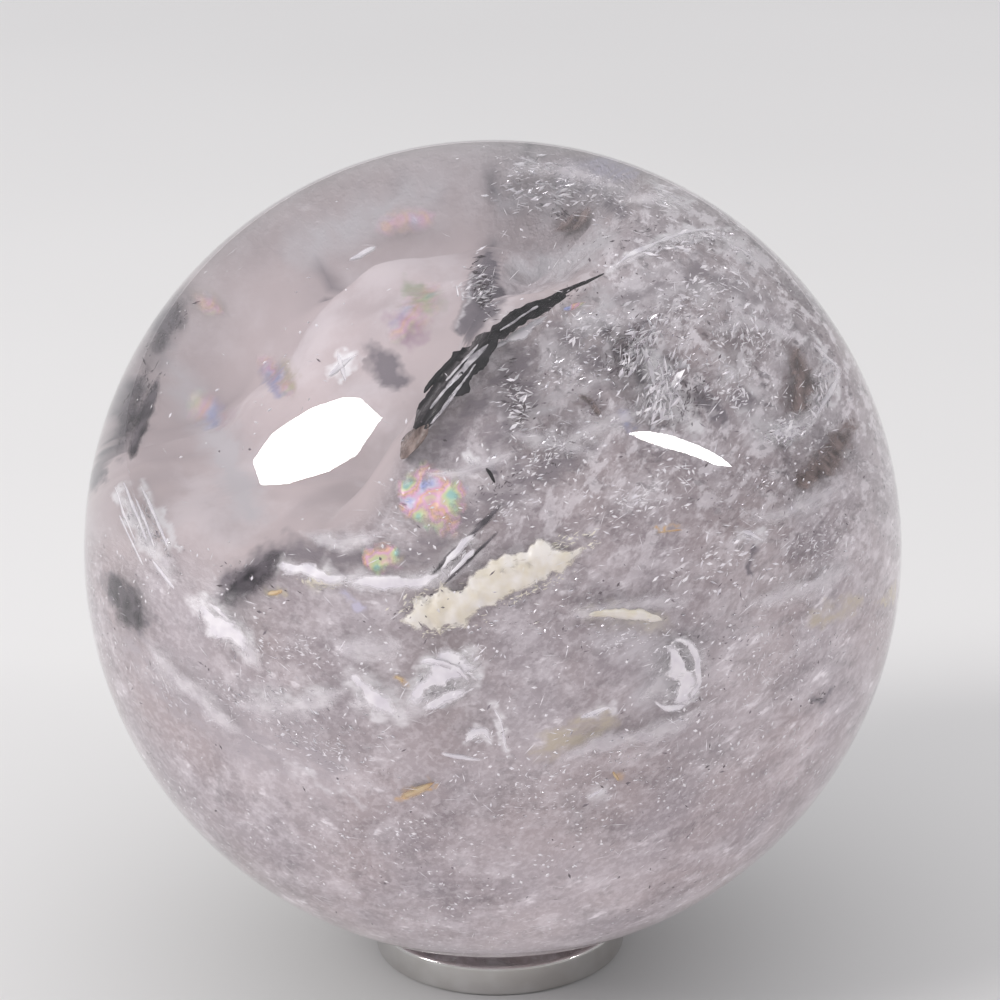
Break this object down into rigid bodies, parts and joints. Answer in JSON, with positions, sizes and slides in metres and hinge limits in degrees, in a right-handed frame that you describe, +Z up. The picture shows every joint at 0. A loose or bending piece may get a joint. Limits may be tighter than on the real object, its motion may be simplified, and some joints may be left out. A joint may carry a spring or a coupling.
{
  "type": "quartz sphere",
  "caption": "Polished clear quartz sphere with milky veils inside, resting in a low round metal ring that stands on a table.",
  "frame": {"origin": "centre of the ring's foot, on the surface that it stands on, under the sphere's centre", "axes": "+Z up through the sphere's centre, -Y towards the picture's camera, +X to its right"},
  "size_m": [0.1, 0.1, 0.1034],
  "materials": {
    "quartz": "polished, see-through, with milky veils and fractures inside",
    "polished_steel": "bright polish"
  },
  "bodies": {
    "root": {"quartz_sphere": "quartz", "stand_ring": "polished_steel"}
  },
  "joints": []
}
